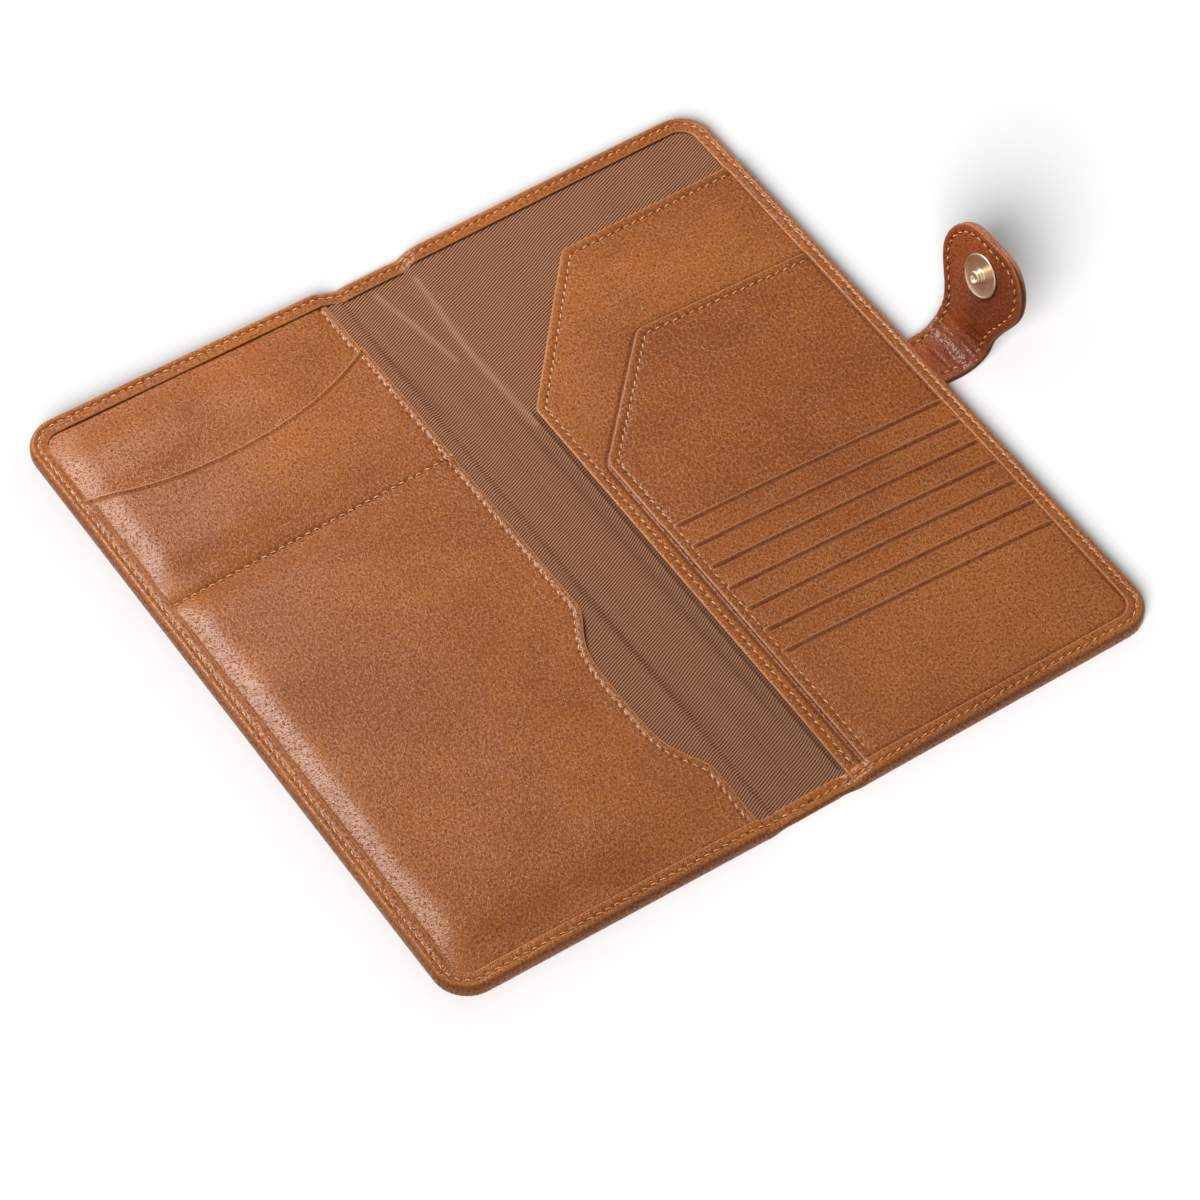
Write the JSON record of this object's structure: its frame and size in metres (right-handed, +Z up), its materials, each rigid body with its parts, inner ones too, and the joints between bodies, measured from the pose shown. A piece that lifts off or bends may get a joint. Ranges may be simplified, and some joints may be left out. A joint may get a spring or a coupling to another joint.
{
  "type": "passport holder wallet",
  "caption": "Long bifold leather travel wallet lying open, with passport, boarding pass and ticket pockets, card slots, woven lining and a closing strap with a magnetic snap.",
  "frame": {"origin": "middle of the spine's underside, on the surface the open wallet lies on", "axes": "+X across the open wallet from the front cover over the spine to the back cover and its strap, +Y along the spine to the far edge, +Z up"},
  "size_m": [0.265, 0.238, 0.0409],
  "materials": {
    "cover_leather": "cognac tan full-grain leather, semi-matt",
    "pocket_leather": "cognac tan full-grain leather, pared thin, semi-matt",
    "strap_leather": "darker red-brown leather, slightly glossy where it bends",
    "lining": "brown diagonal twill lining",
    "board": "grey pressed board, hidden between leather and lining",
    "snap_metal": "polished pale brass plate",
    "magnet": "dark ferrite ring, hidden in the socket"
  },
  "bodies": {
    "back_cover": {"back_cover_leather": "cover_leather", "back_board": "board", "back_lining": "lining", "ticket_pocket": "pocket_leather", "card_panel": "pocket_leather", "card_slot_1": "pocket_leather", "card_slot_2": "pocket_leather", "card_slot_3": "pocket_leather", "card_slot_4": "pocket_leather", "card_slot_5": "pocket_leather", "card_slot_6": "pocket_leather", "card_slot_7": "pocket_leather", "strap_tongue": "strap_leather"},
    "spine": {"spine_leather": "cover_leather", "spine_lining": "lining"},
    "front_cover": {"front_cover_leather": "cover_leather", "front_board": "board", "front_lining": "lining", "boarding_pocket_back": "pocket_leather", "passport_pocket": "pocket_leather", "snap_socket_cap": "snap_metal", "snap_socket_magnet": "magnet", "snap_socket_plate": "snap_metal", "snap_socket_washer": "snap_metal"},
    "strap_base": {"strap_base_outer": "strap_leather", "strap_base_inner": "strap_leather"},
    "strap_tab": {"strap_tab_outer": "strap_leather", "strap_tab_inner": "strap_leather", "snap_stud": "snap_metal", "snap_stud_washer": "snap_metal"}
  },
  "joints": [
    {"name": "spine_fold", "type": "hinge", "parent": "back_cover", "child": "spine", "pos_m": [0.01, 0, 0.0016], "axis": [0, 1, 0], "range_deg": [0, 90]},
    {"name": "cover_fold", "type": "hinge", "parent": "spine", "child": "front_cover", "pos_m": [-0.01, 0, 0.0016], "axis": [0, 1, 0], "range_deg": [0, 93.43]},
    {"name": "strap_root", "type": "hinge", "parent": "back_cover", "child": "strap_base", "pos_m": [0.1215, -0.004, 0.0017], "axis": [0, -1, 0], "range_deg": [-12, 60.01]},
    {"name": "strap_bend", "type": "hinge", "parent": "strap_base", "child": "strap_tab", "pos_m": [0.13563, -0.004, 0.00985], "axis": [0, -1, 0], "range_deg": [-60, 39.81]}
  ]
}
